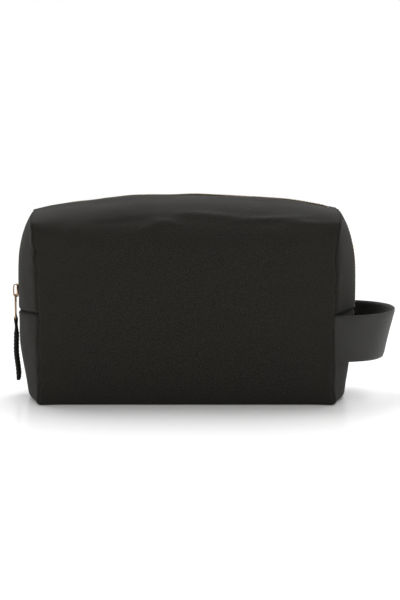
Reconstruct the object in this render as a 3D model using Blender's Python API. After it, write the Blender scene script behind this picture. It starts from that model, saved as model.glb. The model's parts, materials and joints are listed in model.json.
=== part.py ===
"""Boxy zip toiletry bag with a webbing carry loop. Metres, +Z up.

X runs along the bag from the slider end (-X) to the loop end (+X), Y from front (-Y) to back (+Y).
The origin lies on the bottom panel's lower face, half way between the four corner seams.
Each panel is a patch between two layers of the same bag shape: its outer face and its inner face.
"""
import math

import bmesh
import bpy
from mathutils import Vector

# Bag shape
HALF_DEPTH = 0.060            # front and back walls
HALF_WIDTH_BOTTOM = 0.1195    # corner seams at the floor
HALF_WIDTH_GROWTH = 0.0325    # how much the corner seams spread per metre of height
END_BULGE = 0.020             # how far an end stands out at half depth
BULGE_LEFT_AT_FLOOR = 0.74    # share of END_BULGE that is left at the floor
BULGE_LEFT_AT_TOP = 0.38      # share of END_BULGE that is left at the top
SEAM_Z = 0.0745               # horizontal seam of the ends, where the zip stops
SHOULDER_Z = 0.140            # where the walls start to roll over
CROWN_END_Z = 0.1565          # zip ridge over the ends
CROWN_RISE = 0.0135           # how much higher the ridge is half way along
CROWN_POWER = 2.5
ROLL_POWER = 3.4              # superellipse power of the rolled top edge

# Layers
FABRIC = 0.0012
BOARD = 0.0010
LINING = 0.0008
GAP = 0.0003
PULL_BACK = 0.00025           # each patch stops this far from a seam
BOARD_OFFSET = FABRIC + GAP
LINING_OFFSET = BOARD_OFFSET + BOARD + GAP

# Zip
PANEL_EDGE_Y = 0.0068         # where the panels stop beside the zip
TAPE_EDGE_Y = 0.0065
TEETH_EDGE_Y = 0.0030
TEETH_INNER_Y = 0.0009
TAPE_THICKNESS = 0.0008
TEETH_THICKNESS = 0.0022
ZIP_CORNER_RADIUS = 0.012
ZIP_START_Z = SEAM_Z + 0.0040
ZIP_STOP_LENGTH = 0.0030

# Slider, puller and pull tab, on the -X end
SLIDER_Z = 0.0892
SLIDER_LENGTH = 0.0115
SLIDER_HALF_WIDTH = 0.0048
SLIDER_PLATE = 0.0009
SLIDER_CLEARANCE = 0.0006
SLIDER_POST_HALF = 0.0005
BRIDGE_REACH = 0.0034
BRIDGE_BAR = 0.0011
BRIDGE_HALF_WIDTH = 0.0014
PULLER_LENGTH = 0.0215
PULLER_HALF_WIDTH = 0.0041
PULLER_THICKNESS = 0.0010
PULLER_CROSSBAR = 0.0011
PULLER_WINDOW = 0.0060
PULLER_WINDOW_HALF = 0.0024
PULLER_SLOT_HALF_WIDTH = 0.0030
PULLER_SLOT_HEIGHT = 0.0030
PULLER_SLOT_MARGIN = 0.0012
TAB_LENGTH = 0.0520
TAB_HALF_WIDTH = 0.0045
TAB_THICKNESS = 0.0026
TAB_LEAN = 0.0030             # how far the free end lies nearer the bag

# Carry loop, on the +X end
LOOP_TOP_Z = 0.0735
LOOP_HEIGHT = 0.0380
LOOP_REACH = 0.0520
LOOP_BOTTOM_SHORTER = 0.0090  # the lower edge of the webbing reaches less far
LOOP_HALF_SPAN = 0.0580
LOOP_THICKNESS = 0.0016
LOOP_POWER = 2.3
LOOP_ROOT_CLEARANCE = 0.0034
LOOP_STEPS = 36

FABRIC_COLOR = (0.026, 0.026, 0.024)
WEBBING_COLOR = (0.038, 0.038, 0.035)
LINING_COLOR = (0.020, 0.020, 0.021)
BOARD_COLOR = (0.09, 0.09, 0.09)
TAPE_COLOR = (0.022, 0.018, 0.015)
BRASS_COLOR = (0.62, 0.42, 0.22)


# ---------------------------------------------------------------- the bag's shape

def half_width(z):
    return HALF_WIDTH_BOTTOM + HALF_WIDTH_GROWTH * z


def bulge(z):
    """How far an end stands out beyond the corner seams at half depth."""
    if z < SEAM_Z:
        fall = (1 - BULGE_LEFT_AT_FLOOR) * ((SEAM_Z - z) / SEAM_Z) ** 2
    else:
        fall = (1 - BULGE_LEFT_AT_TOP) * ((z - SEAM_Z) / (CROWN_END_Z - SEAM_Z)) ** 4
    return END_BULGE * (1 - fall)


def end_x(y, z, offset):
    """Distance of an end's surface from the bag's middle, on the layer this far inside."""
    depth = HALF_DEPTH - offset
    return half_width(z) - offset + bulge(z) * (1 - min(1.0, abs(y) / depth) ** 2)


def crown(u):
    return CROWN_END_Z + CROWN_RISE * (1 - abs(u) ** CROWN_POWER)


def roll_z(u, y, offset):
    """Height of the rolled top at a place along (u, from -1 to 1) and across (y)."""
    depth = HALF_DEPTH - offset
    share = max(0.0, 1 - (abs(y) / depth) ** ROLL_POWER)
    return SHOULDER_Z + (crown(u) - offset - SHOULDER_Z) * share ** (1 / ROLL_POWER)


def roll_y(turn, offset):
    """Distance from the middle plane as the fabric turns from the wall (0) to the zip (1)."""
    depth = HALF_DEPTH - offset
    last = math.acos((PANEL_EDGE_Y / depth) ** (ROLL_POWER / 2))
    return depth * math.cos(turn * last) ** (2 / ROLL_POWER)


# ---------------------------------------------------------------- mesh helpers

def material(name, color, roughness, metallic=0.0):
    found = bpy.data.materials.get(name)
    if found:
        return found
    made = bpy.data.materials.new(name)
    made.use_nodes = True
    shader = made.node_tree.nodes["Principled BSDF"]
    shader.inputs["Base Color"].default_value = (*color, 1.0)
    shader.inputs["Roughness"].default_value = roughness
    shader.inputs["Metallic"].default_value = metallic
    return made


def outer_fabric():
    return material("outer_fabric", FABRIC_COLOR, 0.75)


def lining_fabric():
    return material("lining_fabric", LINING_COLOR, 0.55)


def brass():
    return material("brass", BRASS_COLOR, 0.3, 1.0)


def add_object(name, mesh_data, look, smooth=True):
    """Closes the bmesh into an object with outward normals."""
    bmesh.ops.recalc_face_normals(mesh_data, faces=mesh_data.faces)
    mesh = bpy.data.meshes.new(name)
    mesh_data.to_mesh(mesh)
    mesh_data.free()
    mesh.materials.append(look)
    if smooth:
        mesh.shade_smooth()
        mesh.set_sharp_from_angle(angle=math.radians(35))
    made = bpy.data.objects.new(name, mesh)
    bpy.context.scene.collection.objects.link(made)
    return made


def slab(name, outer, inner, columns, rows, look):
    """A closed sheet between two surfaces, each a function of (a, b) from 0 to 1."""
    bm = bmesh.new()
    layers = []
    for surface in (outer, inner):
        layers.append([[bm.verts.new(surface(i / columns, j / rows))
                        for j in range(rows + 1)] for i in range(columns + 1)])
    for grid in layers:
        for i in range(columns):
            for j in range(rows):
                bm.faces.new((grid[i][j], grid[i + 1][j], grid[i + 1][j + 1], grid[i][j + 1]))
    rim = [(i, 0) for i in range(columns)] + [(columns, j) for j in range(rows)]
    rim += [(i, rows) for i in range(columns, 0, -1)] + [(0, j) for j in range(rows, 0, -1)]
    for (i, j), (k, m) in zip(rim, rim[1:] + rim[:1]):
        bm.faces.new((layers[0][i][j], layers[0][k][m], layers[1][k][m], layers[1][i][j]))
    return add_object(name, bm, look)


def ribbon(name, sections, look):
    """A closed bar through a list of four-cornered sections."""
    bm = bmesh.new()
    rings = [[bm.verts.new(corner) for corner in section] for section in sections]
    for ring, following in zip(rings, rings[1:]):
        for k in range(4):
            m = (k + 1) % 4
            bm.faces.new((ring[k], ring[m], following[m], following[k]))
    bm.faces.new(rings[0])
    bm.faces.new(rings[-1])
    return add_object(name, bm, look)


def prism(name, outline, shift, look):
    """An outline, moved along shift, as a closed solid."""
    bm = bmesh.new()
    face = bm.faces.new([bm.verts.new(corner) for corner in outline])
    moved = bmesh.ops.extrude_face_region(bm, geom=[face])
    bmesh.ops.translate(bm, vec=shift, verts=[g for g in moved["geom"]
                                              if isinstance(g, bmesh.types.BMVert)])
    return add_object(name, bm, look, smooth=False)


def block(name, low, high, look):
    outline = [(low[0], low[1], low[2]), (high[0], low[1], low[2]),
               (high[0], high[1], low[2]), (low[0], high[1], low[2])]
    return prism(name, outline, (0, 0, high[2] - low[2]), look)


# ---------------------------------------------------------------- panels

def lower_wall(name, side, offset, thickness, look):
    """The front (-1) or back (1) wall from the bottom panel to the horizontal seam."""
    def layer(depth_in):
        def surface(a, b):
            low = depth_in + PULL_BACK
            z = low + (SEAM_Z - PULL_BACK - low) * b
            reach = half_width(z) - depth_in - PULL_BACK
            return ((2 * a - 1) * reach, side * (HALF_DEPTH - depth_in), z)
        return surface
    return slab(name, layer(offset), layer(offset + thickness), 6, 4, look)


def lower_end(name, side, offset, thickness, look):
    """The left (-1) or right (1) end from the bottom panel to the horizontal seam."""
    def layer(depth_in):
        def surface(a, b):
            y = (2 * a - 1) * (HALF_DEPTH - depth_in - PULL_BACK)
            low = depth_in + PULL_BACK
            z = low + (SEAM_Z - PULL_BACK - low) * b
            return (side * end_x(y, z, depth_in), y, z)
        return surface
    return slab(name, layer(offset), layer(offset + thickness), 14, 6, look)


def upper_panel(name, side, offset, thickness, look):
    """The front (-1) or back (1) wall above the seam with the flap that rolls over to the zip."""
    wall_share = 0.25

    def layer(depth_in):
        depth = HALF_DEPTH - depth_in

        def surface(a, b):
            u = 2 * a - 1
            if b <= wall_share:
                low = SEAM_Z + PULL_BACK
                z = low + (SHOULDER_Z - low) * b / wall_share
                return (u * (half_width(z) - depth_in - PULL_BACK), side * depth, z)
            y = roll_y((b - wall_share) / (1 - wall_share), depth_in)
            edge_z = roll_z(1, y, depth_in)
            reach = end_x(y, edge_z, depth_in) - PULL_BACK
            return (u * reach, side * y, roll_z(u, y, depth_in))
        return surface
    return slab(name, layer(offset), layer(offset + thickness), 14, 12, look)


def end_quarter(name, end, side, offset, thickness, look):
    """Half of an end above the seam: end is -1 left or 1 right, side -1 front or 1 back."""
    def layer(depth_in):
        def surface(a, b):
            widest = HALF_DEPTH - depth_in - PULL_BACK
            y = widest + (PANEL_EDGE_Y - widest) * (1 - (1 - a) ** 1.6)
            top = roll_z(1, y, depth_in + PULL_BACK)
            low = SEAM_Z + PULL_BACK
            z = low + (top - low) * b
            return (end * end_x(y, z, depth_in), side * y, z)
        return surface
    return slab(name, layer(offset), layer(offset + thickness), 9, 9, look)


def floor_panel(name, offset, thickness, inset, look):
    """A flat sheet in the bag's bottom, bounded by the walls and ends of its own layer."""
    def layer(depth_in):
        def surface(a, b):
            y = (2 * b - 1) * (HALF_DEPTH - depth_in - PULL_BACK - inset)
            reach = end_x(y, depth_in, depth_in) - PULL_BACK - inset
            return ((2 * a - 1) * reach, y, depth_in)
        return surface
    return slab(name, layer(offset), layer(offset + thickness), 4, 14, look)


def build_panels():
    layers = (("", 0.0, FABRIC, outer_fabric()),
              ("lining_", LINING_OFFSET, LINING, lining_fabric()))
    for prefix, offset, thickness, look in layers:
        floor_panel(prefix + "bottom_panel", offset, thickness, 0.0, look)
        for side, word in ((-1, "front"), (1, "back")):
            lower_wall(f"{prefix}{word}_lower", side, offset, thickness, look)
            upper_panel(f"{prefix}{word}_upper", side, offset, thickness, look)
        for end, end_word in ((-1, "left"), (1, "right")):
            lower_end(f"{prefix}{end_word}_end_lower", end, offset, thickness, look)
            for side, word in ((-1, "front"), (1, "back")):
                end_quarter(f"{prefix}{end_word}_end_{word}", end, side, offset, thickness, look)
    board_look = material("board", BOARD_COLOR, 0.6)
    floor_panel("bottom_board", BOARD_OFFSET, BOARD, 0.002, board_look)


# ---------------------------------------------------------------- zip

def zip_path():
    """Points and outward normals of the zip in the XZ plane, from the left end to the right."""
    top_x = end_x(0, CROWN_END_Z, 0)
    rows = [(-end_x(0, z, 0), z) for z in
            [ZIP_START_Z + k * (SHOULDER_Z - ZIP_START_Z) / 10 for k in range(11)]]
    corner = (-top_x, CROWN_END_Z)
    first_u = 1 - ZIP_CORNER_RADIUS / top_x
    for k in range(1, 6):
        t = k / 6
        start, stop = rows[10], (-first_u * top_x, crown(first_u))
        rows.append(tuple((1 - t) ** 2 * start[i] + 2 * t * (1 - t) * corner[i] + t * t * stop[i]
                          for i in range(2)))
    steps = 9
    rows += [(-first_u * top_x * (1 - k / steps), crown(first_u * (1 - k / steps)))
             for k in range(steps + 1)]
    rows += [(-x, z) for x, z in reversed(rows[:-1])]
    out = []
    for k, (x, z) in enumerate(rows):
        before, after = rows[max(0, k - 1)], rows[min(len(rows) - 1, k + 1)]
        run = Vector((after[0] - before[0], after[1] - before[1])).normalized()
        out.append((x, z, -run.y, run.x))
    return out


def zip_strip(name, side, inner_y, outer_y, rise, sink, look, part=slice(None)):
    """A strip along the zip path: from sink below to rise above the surface."""
    sections = []
    for x, z, nx, nz in zip_path()[part]:
        corners = ((inner_y, rise), (outer_y, rise), (outer_y, -sink), (inner_y, -sink))
        sections.append([(x + nx * h, side * y, z + nz * h) for y, h in corners])
    return ribbon(name, sections, look)


def build_zip():
    tape_look = material("zip_tape", TAPE_COLOR, 0.8)
    half = TEETH_THICKNESS / 2
    for side, word in ((-1, "front"), (1, "back")):
        zip_strip(f"zip_tape_{word}", side, TEETH_EDGE_Y + GAP, TAPE_EDGE_Y,
                  0, TAPE_THICKNESS, tape_look)
        zip_strip(f"zip_teeth_{word}", side, TEETH_INNER_Y, TEETH_EDGE_Y,
                  half - TAPE_THICKNESS / 2, half + TAPE_THICKNESS / 2, brass())
        stop_top = ZIP_START_Z - GAP
        x = end_x(0, stop_top, 0)
        block(f"zip_stop_{word}", (x - half, min(side * TEETH_INNER_Y, side * TEETH_EDGE_Y),
                                   stop_top - ZIP_STOP_LENGTH),
              (x + half, max(side * TEETH_INNER_Y, side * TEETH_EDGE_Y), stop_top), brass())


# ---------------------------------------------------------------- slider and pull

def slider_frame():
    """x of the slider's outer plate face, of the puller's axis and of the bridge's outer face."""
    zip_x = -end_x(0, SLIDER_Z, 0)
    above = TEETH_THICKNESS / 2 - TAPE_THICKNESS / 2 + SLIDER_CLEARANCE
    face = zip_x - above - SLIDER_PLATE
    return face, face - (BRIDGE_REACH - BRIDGE_BAR) / 2 - GAP / 2, face - BRIDGE_REACH


def puller_pivot():
    """The puller's axis, just above the lower leg of the bridge."""
    axis_x = slider_frame()[1]
    return axis_x, SLIDER_Z - SLIDER_LENGTH / 2 + BRIDGE_BAR + PULLER_CROSSBAR


def build_slider():
    face = slider_frame()[0]
    below = TEETH_THICKNESS / 2 + TAPE_THICKNESS / 2 + SLIDER_CLEARANCE
    zip_x = -end_x(0, SLIDER_Z, 0)
    width, post, plate = SLIDER_HALF_WIDTH, SLIDER_POST_HALF, SLIDER_PLATE
    back = zip_x + below
    low = SLIDER_Z - SLIDER_LENGTH / 2
    outline = [(face, -width), (face + plate, -width), (face + plate, -post), (back, -post),
               (back, -width), (back + plate, -width), (back + plate, width), (back, width),
               (back, post), (face + plate, post), (face + plate, width), (face, width)]
    prism("slider_body", [(x, y, low) for x, y in outline], (0, 0, SLIDER_LENGTH), brass())


def build_bridge():
    """A bow that stands on the slider's outer plate, with round shoulders."""
    foot = slider_frame()[0] - GAP
    half = SLIDER_LENGTH / 2

    def bow(reach, rise):
        radius = min(reach, rise) * 0.8
        points = [(foot, rise)]
        for k in range(6):
            angle = math.pi / 2 * k / 5
            points.append((foot - reach + radius * (1 - math.sin(angle)),
                           rise - radius * (1 - math.cos(angle))))
        return points + [(x, -z) for x, z in reversed(points)]

    outline = bow(BRIDGE_REACH - GAP, half) + bow(BRIDGE_REACH - GAP - BRIDGE_BAR,
                                                  half - BRIDGE_BAR)[::-1]
    prism("slider_bridge", [(x, -BRIDGE_HALF_WIDTH, SLIDER_Z + z) for x, z in outline],
          (0, 2 * BRIDGE_HALF_WIDTH, 0), brass())


def cut(target, low, high):
    """Cuts a box out of target."""
    cutter = block(target.name + "_cutter", low, high, brass())
    cutter.hide_render = True
    cutter.display_type = "WIRE"
    modifier = target.modifiers.new("cut", "BOOLEAN")
    modifier.operation = "DIFFERENCE"
    modifier.object = cutter
    bpy.context.view_layer.update()
    graph = bpy.context.evaluated_depsgraph_get()
    result = bpy.data.meshes.new_from_object(target.evaluated_get(graph))
    target.modifiers.remove(modifier)
    target.data = result
    bpy.data.objects.remove(cutter)


def build_puller():
    axis_x, axis_z = puller_pivot()
    near, far = axis_x - PULLER_THICKNESS / 2, axis_x + PULLER_THICKNESS / 2
    top = axis_z + PULLER_CROSSBAR / 2
    bottom = top - PULLER_LENGTH
    chamfer = PULLER_HALF_WIDTH * 0.3
    width = PULLER_HALF_WIDTH
    outline = [(-width + chamfer, top), (width - chamfer, top), (width, top - chamfer),
               (width, bottom + chamfer), (width - chamfer, bottom), (-width + chamfer, bottom),
               (-width, bottom + chamfer), (-width, top - chamfer)]
    puller = prism("puller", [(near, y, z) for y, z in outline], (far - near, 0, 0), brass())
    margin = 0.001
    window_top = axis_z - PULLER_CROSSBAR / 2
    cut(puller, (near - margin, -PULLER_WINDOW_HALF, window_top - PULLER_WINDOW),
        (far + margin, PULLER_WINDOW_HALF, window_top))
    slot_low = bottom + PULLER_SLOT_MARGIN
    cut(puller, (near - margin, -PULLER_SLOT_HALF_WIDTH, slot_low),
        (far + margin, PULLER_SLOT_HALF_WIDTH, slot_low + PULLER_SLOT_HEIGHT))


def build_pull_tab():
    """The folded fabric tab, which hangs from the puller and leans towards the bag."""
    axis_x, axis_z = puller_pivot()
    top = axis_z + PULLER_CROSSBAR / 2 - PULLER_LENGTH - GAP
    half = TAB_THICKNESS / 2
    steps = 8
    sections = []
    for k in range(steps + 1):
        share = k / steps
        x = axis_x + TAB_LEAN * share ** 1.3
        z = top - TAB_LENGTH * share
        sections.append([(x - half, -TAB_HALF_WIDTH, z), (x + half, -TAB_HALF_WIDTH, z),
                         (x + half, TAB_HALF_WIDTH, z), (x - half, TAB_HALF_WIDTH, z)])
    ribbon("pull_tab", sections, outer_fabric())


# ---------------------------------------------------------------- carry loop

def build_loop():
    """Webbing from the front corner seam round to the back one, its lower edge reaching less far."""
    root_x = half_width(LOOP_TOP_Z) + LOOP_ROOT_CLEARANCE
    low = LOOP_TOP_Z - LOOP_HEIGHT

    def corner(angle, inward, z):
        share = (LOOP_TOP_Z - z) / LOOP_HEIGHT
        reach = LOOP_REACH - LOOP_BOTTOM_SHORTER * share - inward
        span = LOOP_HALF_SPAN - inward
        power = 2 / LOOP_POWER
        across = math.copysign(abs(math.cos(angle)) ** power, -math.cos(angle))
        return (root_x + reach * math.sin(angle) ** power, span * across, z)

    sections = []
    for k in range(LOOP_STEPS + 1):
        angle = math.pi * k / LOOP_STEPS
        angle = min(max(angle, 1e-6), math.pi - 1e-6)
        sections.append([corner(angle, 0, low), corner(angle, 0, LOOP_TOP_Z),
                         corner(angle, LOOP_THICKNESS, LOOP_TOP_Z),
                         corner(angle, LOOP_THICKNESS, low)])
    ribbon("carry_loop", sections, material("webbing", WEBBING_COLOR, 0.7))


def main():
    for found in list(bpy.data.objects):
        bpy.data.objects.remove(found)
    build_panels()
    build_zip()
    build_slider()
    build_bridge()
    build_puller()
    build_pull_tab()
    build_loop()


main()
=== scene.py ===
"""The looks of the zip toiletry bag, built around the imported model. Metres, Z up, front at -Y."""
import json
import math

import bmesh
import bpy
import numpy as np
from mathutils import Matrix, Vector, noise
from mathutils.bvhtree import BVHTree


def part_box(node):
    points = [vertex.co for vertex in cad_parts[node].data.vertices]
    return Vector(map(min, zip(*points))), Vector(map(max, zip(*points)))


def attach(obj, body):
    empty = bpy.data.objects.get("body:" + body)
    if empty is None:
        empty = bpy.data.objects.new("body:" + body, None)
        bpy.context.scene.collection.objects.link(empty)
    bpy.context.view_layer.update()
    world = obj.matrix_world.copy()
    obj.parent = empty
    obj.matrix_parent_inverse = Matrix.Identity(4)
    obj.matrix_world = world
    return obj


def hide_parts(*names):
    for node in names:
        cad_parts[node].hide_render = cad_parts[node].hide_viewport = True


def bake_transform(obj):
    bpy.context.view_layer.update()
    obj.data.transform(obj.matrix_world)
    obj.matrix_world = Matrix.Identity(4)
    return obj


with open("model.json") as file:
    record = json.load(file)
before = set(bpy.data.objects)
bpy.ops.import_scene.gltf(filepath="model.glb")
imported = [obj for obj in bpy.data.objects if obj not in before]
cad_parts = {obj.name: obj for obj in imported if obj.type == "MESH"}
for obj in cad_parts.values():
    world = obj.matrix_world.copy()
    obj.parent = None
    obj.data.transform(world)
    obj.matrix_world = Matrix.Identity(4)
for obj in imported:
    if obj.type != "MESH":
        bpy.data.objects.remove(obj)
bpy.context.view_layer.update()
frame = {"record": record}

PI = math.pi

# -------------------- the shape, read from the frame
SEAM_Z = next(joint["pos_m"][2] for joint in frame["record"]["behaviour"]["joints"]
              if joint["name"] == "mouth_front_open")
HALF_DEPTH = -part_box("front_lower")[0][1]
WALL_TOP_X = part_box("front_lower")[1][0]
CROWN_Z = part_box("front_upper")[1][2]
ZIP_REACH = -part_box("left_end_lower")[0][0]
WIDTH_GROWTH = 0.0325  # how much the corner seams spread per metre of height
WIDTH_FLOOR = WALL_TOP_X - WIDTH_GROWTH * SEAM_Z
END_BULGE = ZIP_REACH - WALL_TOP_X  # how far an end stands out past its corner seams
BULGE_LEFT_AT_FLOOR, BULGE_LEFT_AT_TOP = 0.74, 0.20
SHOULDER_RISE = 0.0530  # from the end seams up to where the walls roll over
SHOULDER_Z = SEAM_Z + SHOULDER_RISE
CROWN_RISE = 0.0135  # how far the ridge climbs from its ends to its middle
CROWN_END_Z = CROWN_Z - CROWN_RISE
CROWN_POWER, ROLL_POWER, ROLL_SOFTER = 2.5, 3.4, 1.25
ZIP_GAP = 0.0052  # the folded panel edges stop this far from the zip's middle
LINING_DEPTH = 0.0034  # the lining lies this far inside the outer face

EDGE_RADIUS = 0.0022  # how softly a panel turns into its corner seam
FLOOR_RADIUS = 0.0048  # and into the floor's seam
EDGE_INSET = EDGE_RADIUS * (1 - math.cos(PI / 4))  # where two panels meet, inside both faces
FLOOR_INSET = FLOOR_RADIUS * (1 - math.cos(PI / 4))
BAG_MIDDLE = Vector((0, 0, 0.07))


def half_width(z):
    """Half the distance between the corner seams at this height."""
    return WIDTH_FLOOR + WIDTH_GROWTH * z


def bulge(z):
    """How far the middle of an end stands out past its corner seams."""
    if z < SEAM_Z:
        fall = (1 - BULGE_LEFT_AT_FLOOR) * ((SEAM_Z - z) / SEAM_Z) ** 2
    else:
        fall = (1 - BULGE_LEFT_AT_TOP) * ((z - SEAM_Z) / (CROWN_END_Z - SEAM_Z)) ** 4
    return END_BULGE * (1 - fall)


def end_x(y, z, inward):
    """Half the bag's length at a place on an end, this far inside the outer face."""
    depth = HALF_DEPTH - inward
    return half_width(z) - inward + bulge(z) * (1 - min(1.0, abs(y) / depth) ** 2)


def crown(u):
    """Height of the ridge; u runs from -1 to 1 between its ends."""
    return CROWN_END_Z + CROWN_RISE * (1 - min(1.0, abs(u)) ** CROWN_POWER)


def roll_z(u, y, inward):
    """Height of the rolled top at a place across the bag."""
    depth = HALF_DEPTH - inward
    power = ROLL_POWER - ROLL_SOFTER * (1 - abs(u) ** 6)
    share = max(0.0, 1 - min(1.0, abs(y) / depth) ** power)
    return SHOULDER_Z + (crown(u) - inward - SHOULDER_Z) * share ** (1 / power)


def roll_y(turn, inward):
    """How far from the middle the roll lies; turn is 0 at the shoulder and 1 at the zip."""
    depth = HALF_DEPTH - inward
    last = math.acos((ZIP_GAP / depth) ** (ROLL_POWER / 2))
    return depth * math.cos(turn * last) ** (2 / ROLL_POWER)


def edge_turn(run, radius):
    """At this run of fabric from a seam: (distance from the seam's plane, how far inside it lies)."""
    length = radius * PI / 4
    if run >= length:
        return run - length + radius, 0.0
    turn = PI / 4 * (1 - run / length)
    return radius * (math.cos(turn) - math.sin(turn)), radius * (1 - math.cos(turn))


# -------------------- mesh helpers

def grid_mesh(name, points, uvs, look, closed_rows=False):
    """A smooth quad sheet through points[column][row], with uvs in metres of fabric."""
    bm = bmesh.new()
    layer = bm.loops.layers.uv.new("Fabric")
    verts = [[bm.verts.new(p) for p in column] for column in points]
    rows = len(points[0])
    for i in range(len(points) - 1):
        for j in range(rows if closed_rows else rows - 1):
            k = (j + 1) % rows
            face = bm.faces.new((verts[i][j], verts[i + 1][j], verts[i + 1][k], verts[i][k]))
            face.smooth = True
            ends = ((i, j), (i + 1, j), (i + 1, j + 1), (i, j + 1))
            for loop, (a, b) in zip(face.loops, ends):
                loop[layer].uv = uvs(a, b)
    if closed_rows:
        for column in (0, -1):
            bm.faces.new(verts[column])
    bmesh.ops.recalc_face_normals(bm, faces=bm.faces)
    return new_object(name, bm, look)


def new_object(name, bm, look):
    mesh = bpy.data.meshes.new(name)
    bm.to_mesh(mesh)
    bm.free()
    mesh.materials.append(look)
    return add_object(name, mesh)


def add_object(name, data):
    made = bpy.data.objects.new(name, data)
    bpy.context.scene.collection.objects.link(made)
    return made


def apply_modifiers(piece):
    bpy.context.view_layer.update()
    graph = bpy.context.evaluated_depsgraph_get()
    made = bpy.data.meshes.new_from_object(piece.evaluated_get(graph))
    piece.modifiers.clear()
    piece.data = made
    return piece


def face_outwards(piece):
    """Turns a sheet's normals away from the bag's middle."""
    total = sum((p.center - BAG_MIDDLE).dot(p.normal) * p.area for p in piece.data.polygons)
    if total < 0:
        piece.data.flip_normals()


def thicken(piece, thickness):
    """Gives a sheet its thickness, on its inner side."""
    solid = piece.modifiers.new("thickness", "SOLIDIFY")
    solid.thickness, solid.offset = thickness, -1
    return apply_modifiers(piece)


def coordinates(piece):
    co = np.empty(len(piece.data.vertices) * 3)
    piece.data.vertices.foreach_get("co", co)
    return co.reshape(-1, 3)


def squarer(wave, power):
    """A sine or cosine pushed towards its ends, so that a circle turns squarer."""
    return math.copysign(abs(wave) ** power, wave)


def hump(value, centre, width):
    """1 at the centre, falling smoothly away on both sides."""
    return np.exp(-((value - centre) / width) ** 2)


def settled(co):
    """The soft bag's own shape: belly, pinched corners, puckers and waves, for every fabric point."""
    x, y, z = co[:, 0], co[:, 1], co[:, 2]
    side = np.clip(np.abs(y) / HALF_DEPTH, 0, 1)
    across = np.clip(1 - (x / WALL_TOP_X) ** 2, 0, 1)
    upright = np.clip(np.sin(np.clip(z / CROWN_END_Z, 0, 1) ** BELLY_LOW * PI), 0, 1)
    out = co.copy()
    out[:, 1] += np.sign(y) * BELLY * side ** 2 * across * upright
    top = np.clip((z - SHOULDER_Z) / (CROWN_END_Z - SHOULDER_Z), 0, 1)
    swell = hump(z, LEFT_SWELL_Z, LEFT_SWELL_HALF) * np.clip(1 - (y / HALF_DEPTH) ** 2, 0, 1)
    out[:, 0] -= LEFT_SWELL * swell * np.clip(-x / WALL_TOP_X, 0, 1) ** LEFT_SWELL_POWER
    out[:, 2] -= top * LEFT_DROP * np.clip(0.5 - x / (2 * WALL_TOP_X), 0, 1)
    out[:, 2] += top * (TOP_LIFT + TOP_END_LIFT * np.clip(np.abs(x) / WALL_TOP_X, 0, 1) ** 2)
    out[:, 2] += top * TOP_WAVE * (np.sin(x * 41 + 1.1) + 0.6 * np.sin(x * 93 + 0.4)) * across
    for end in (-1, 1):
        for depth in (-1, 1):
            for width_z, centre_z, size, (way_x, way_y, way_z), pinch in PINCHES:
                reach = (x - end * half_width(width_z)) ** 2 + (y - depth * HALF_DEPTH) ** 2
                near = np.exp(-(reach + (z - centre_z) ** 2) / size ** 2)
                out += near[:, None] * np.array((end * way_x, depth * way_y, way_z)) * pinch
    gap = (np.abs(x) - half_width(z)) ** 2 + (np.abs(y) - HALF_DEPTH) ** 2
    beside = np.exp(-(gap / PUCKER_REACH ** 2))
    gathered = (np.sin(z * PUCKER_RATE + 3 * np.sin(z * 61 + x * 9)) * np.clip(z / PUCKERS_FULL_Z, 0, 1)
                * (0.25 + 0.75 * np.sin(z * 29 + x * 14 + y * 11) ** 2))
    out[:, 0] += np.sign(x) * beside * gathered * PUCKER
    out[:, 1] += np.sign(y) * beside * gathered * PUCKER * PUCKER_DEEP
    waves = np.array([noise.noise_vector(Vector(p) * WAVE_RATE) * WAVE
                      + noise.noise_vector(Vector(p) * RIPPLE_RATE + RIPPLE_SHIFT) * RIPPLE
                      for p in co])
    calm = 1 - np.exp(-((x + ZIP_REACH) / CALM_LONG) ** 2 - (y / CALM_WIDE) ** 2)
    lifted = np.clip(z / WAVES_FULL_Z, 0, 1)
    out += waves * (calm * lifted)[:, None]
    return out


def settle(piece):
    piece.data.vertices.foreach_set("co", settled(coordinates(piece)).ravel())
    piece.data.update()


BELLY, BELLY_LOW = 0.0058, 0.8  # a power below 1 sets the belly's widest place lower
TOP_WAVE, LEFT_DROP = 0.0005, 0.0010
TOP_LIFT, TOP_END_LIFT = 0.0008, 0.0012
LEFT_SWELL, LEFT_SWELL_Z, LEFT_SWELL_HALF, LEFT_SWELL_POWER = 0.0015, 0.046, 0.018, 8

# height of the corner's width, height of the middle, size, way (outward, deep, up) and amount
PINCHES = (
    (0.150, 0.149, 0.008, (0.5, 0.6, 0.9), 0.0018),
    (0, 0, 0.010, (0.6, 0.6, 0), 0.0046),
)

PUCKER, PUCKER_RATE, PUCKER_REACH = 0.0008, 230.0, 0.005
PUCKER_DEEP, PUCKERS_FULL_Z = 0.7, 0.02
# nothing seeds the noise behind these two, so its field is a new one each run
WAVE, WAVE_RATE, WAVES_FULL_Z = 0.0011, 21.0, 0.012
RIPPLE, RIPPLE_RATE, RIPPLE_SHIFT = 0.00036, 62.0, Vector((3, 5, 7))
CALM_LONG, CALM_WIDE = 0.03, 0.02  # the slider's way on the left end stays free of waves


# -------------------- materials

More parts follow.
